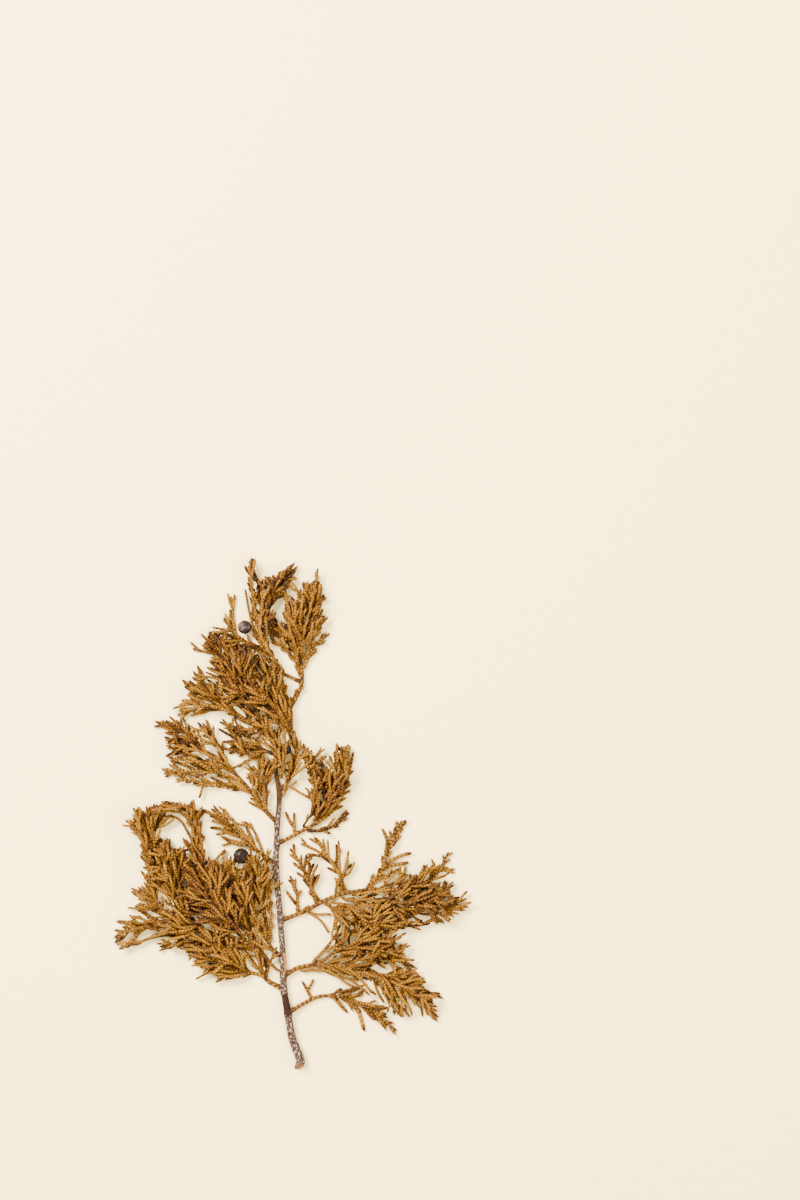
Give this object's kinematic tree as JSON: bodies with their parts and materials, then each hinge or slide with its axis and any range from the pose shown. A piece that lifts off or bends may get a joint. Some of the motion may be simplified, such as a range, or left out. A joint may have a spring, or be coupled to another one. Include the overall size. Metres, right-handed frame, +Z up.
{
  "type": "pressed juniper branch",
  "caption": "Flat, pressed and dried juniper branch, cut from its tree, with leafy scale-covered twigs on a tapering stem and small round seed cones.",
  "frame": {"origin": "middle of the box round the branch, at its underside", "axes": "+X to the right and +Y from the cut end towards the tip, seen from above; +Z up, through the branch's small thickness"},
  "size_m": [0.133, 0.1904, 0.0085],
  "materials": {
    "stem_bark": "rough, with pale flecks",
    "leafy_twigs": "matt, dried scale leaves in several browns",
    "cone_skin": "satin, waxy"
  },
  "bodies": {
    "root": {"arch_spray": "leafy_twigs", "arched_bough": "stem_bark", "crown_left_bough": "stem_bark", "crown_left_spray": "leafy_twigs", "crown_seed_cone": "cone_skin", "crown_top_spray": "leafy_twigs", "inner_feather": "leafy_twigs", "leader_left_spray": "leafy_twigs", "leader_right_spray": "leafy_twigs", "leader_spray": "leafy_twigs", "left_core_spray": "leafy_twigs", "left_edge_spray": "leafy_twigs", "left_fan_spray": "leafy_twigs", "left_far_spray": "leafy_twigs", "left_heart_spray": "leafy_twigs", "left_high_bough": "stem_bark", "left_high_edge_spray": "leafy_twigs", "left_high_inner_spray": "leafy_twigs", "left_high_low_spray": "leafy_twigs", "left_high_spray": "leafy_twigs", "left_inner_bough": "stem_bark", "left_inner_spray": "leafy_twigs", "left_long_bough": "stem_bark", "left_low_bough": "stem_bark", "left_low_spray": "leafy_twigs", "left_mid_bough": "stem_bark", "left_mid_spray": "leafy_twigs", "left_rising_spray": "leafy_twigs", "left_seed_cone": "cone_skin", "main_stem": "stem_bark", "near_feather": "leafy_twigs", "outer_feather": "leafy_twigs", "right_climb_spray": "leafy_twigs", "right_far_spray": "leafy_twigs", "right_heart_spray": "leafy_twigs", "right_high_bough": "stem_bark", "right_high_inner_spray": "leafy_twigs", "right_high_low_spray": "leafy_twigs", "right_high_spray": "leafy_twigs", "right_long_bough": "stem_bark", "right_low_bough": "stem_bark", "right_low_fork": "leafy_twigs", "right_low_spray": "leafy_twigs", "right_lower_bough": "stem_bark", "right_mid_bough": "stem_bark", "right_mid_spray": "leafy_twigs", "right_middle_spray": "leafy_twigs", "right_reach_spray": "leafy_twigs", "right_rising_bough": "stem_bark", "right_spur_spray": "leafy_twigs", "right_tip_spray": "leafy_twigs", "right_top_bough": "stem_bark", "right_top_spray": "leafy_twigs", "right_under_spray": "leafy_twigs", "upper_left_bough": "stem_bark", "upper_left_spray": "leafy_twigs", "upper_low_spray": "leafy_twigs", "upper_rising_spray": "leafy_twigs", "upper_seed_cone": "cone_skin", "upright_shoots": "leafy_twigs"}
  },
  "joints": []
}
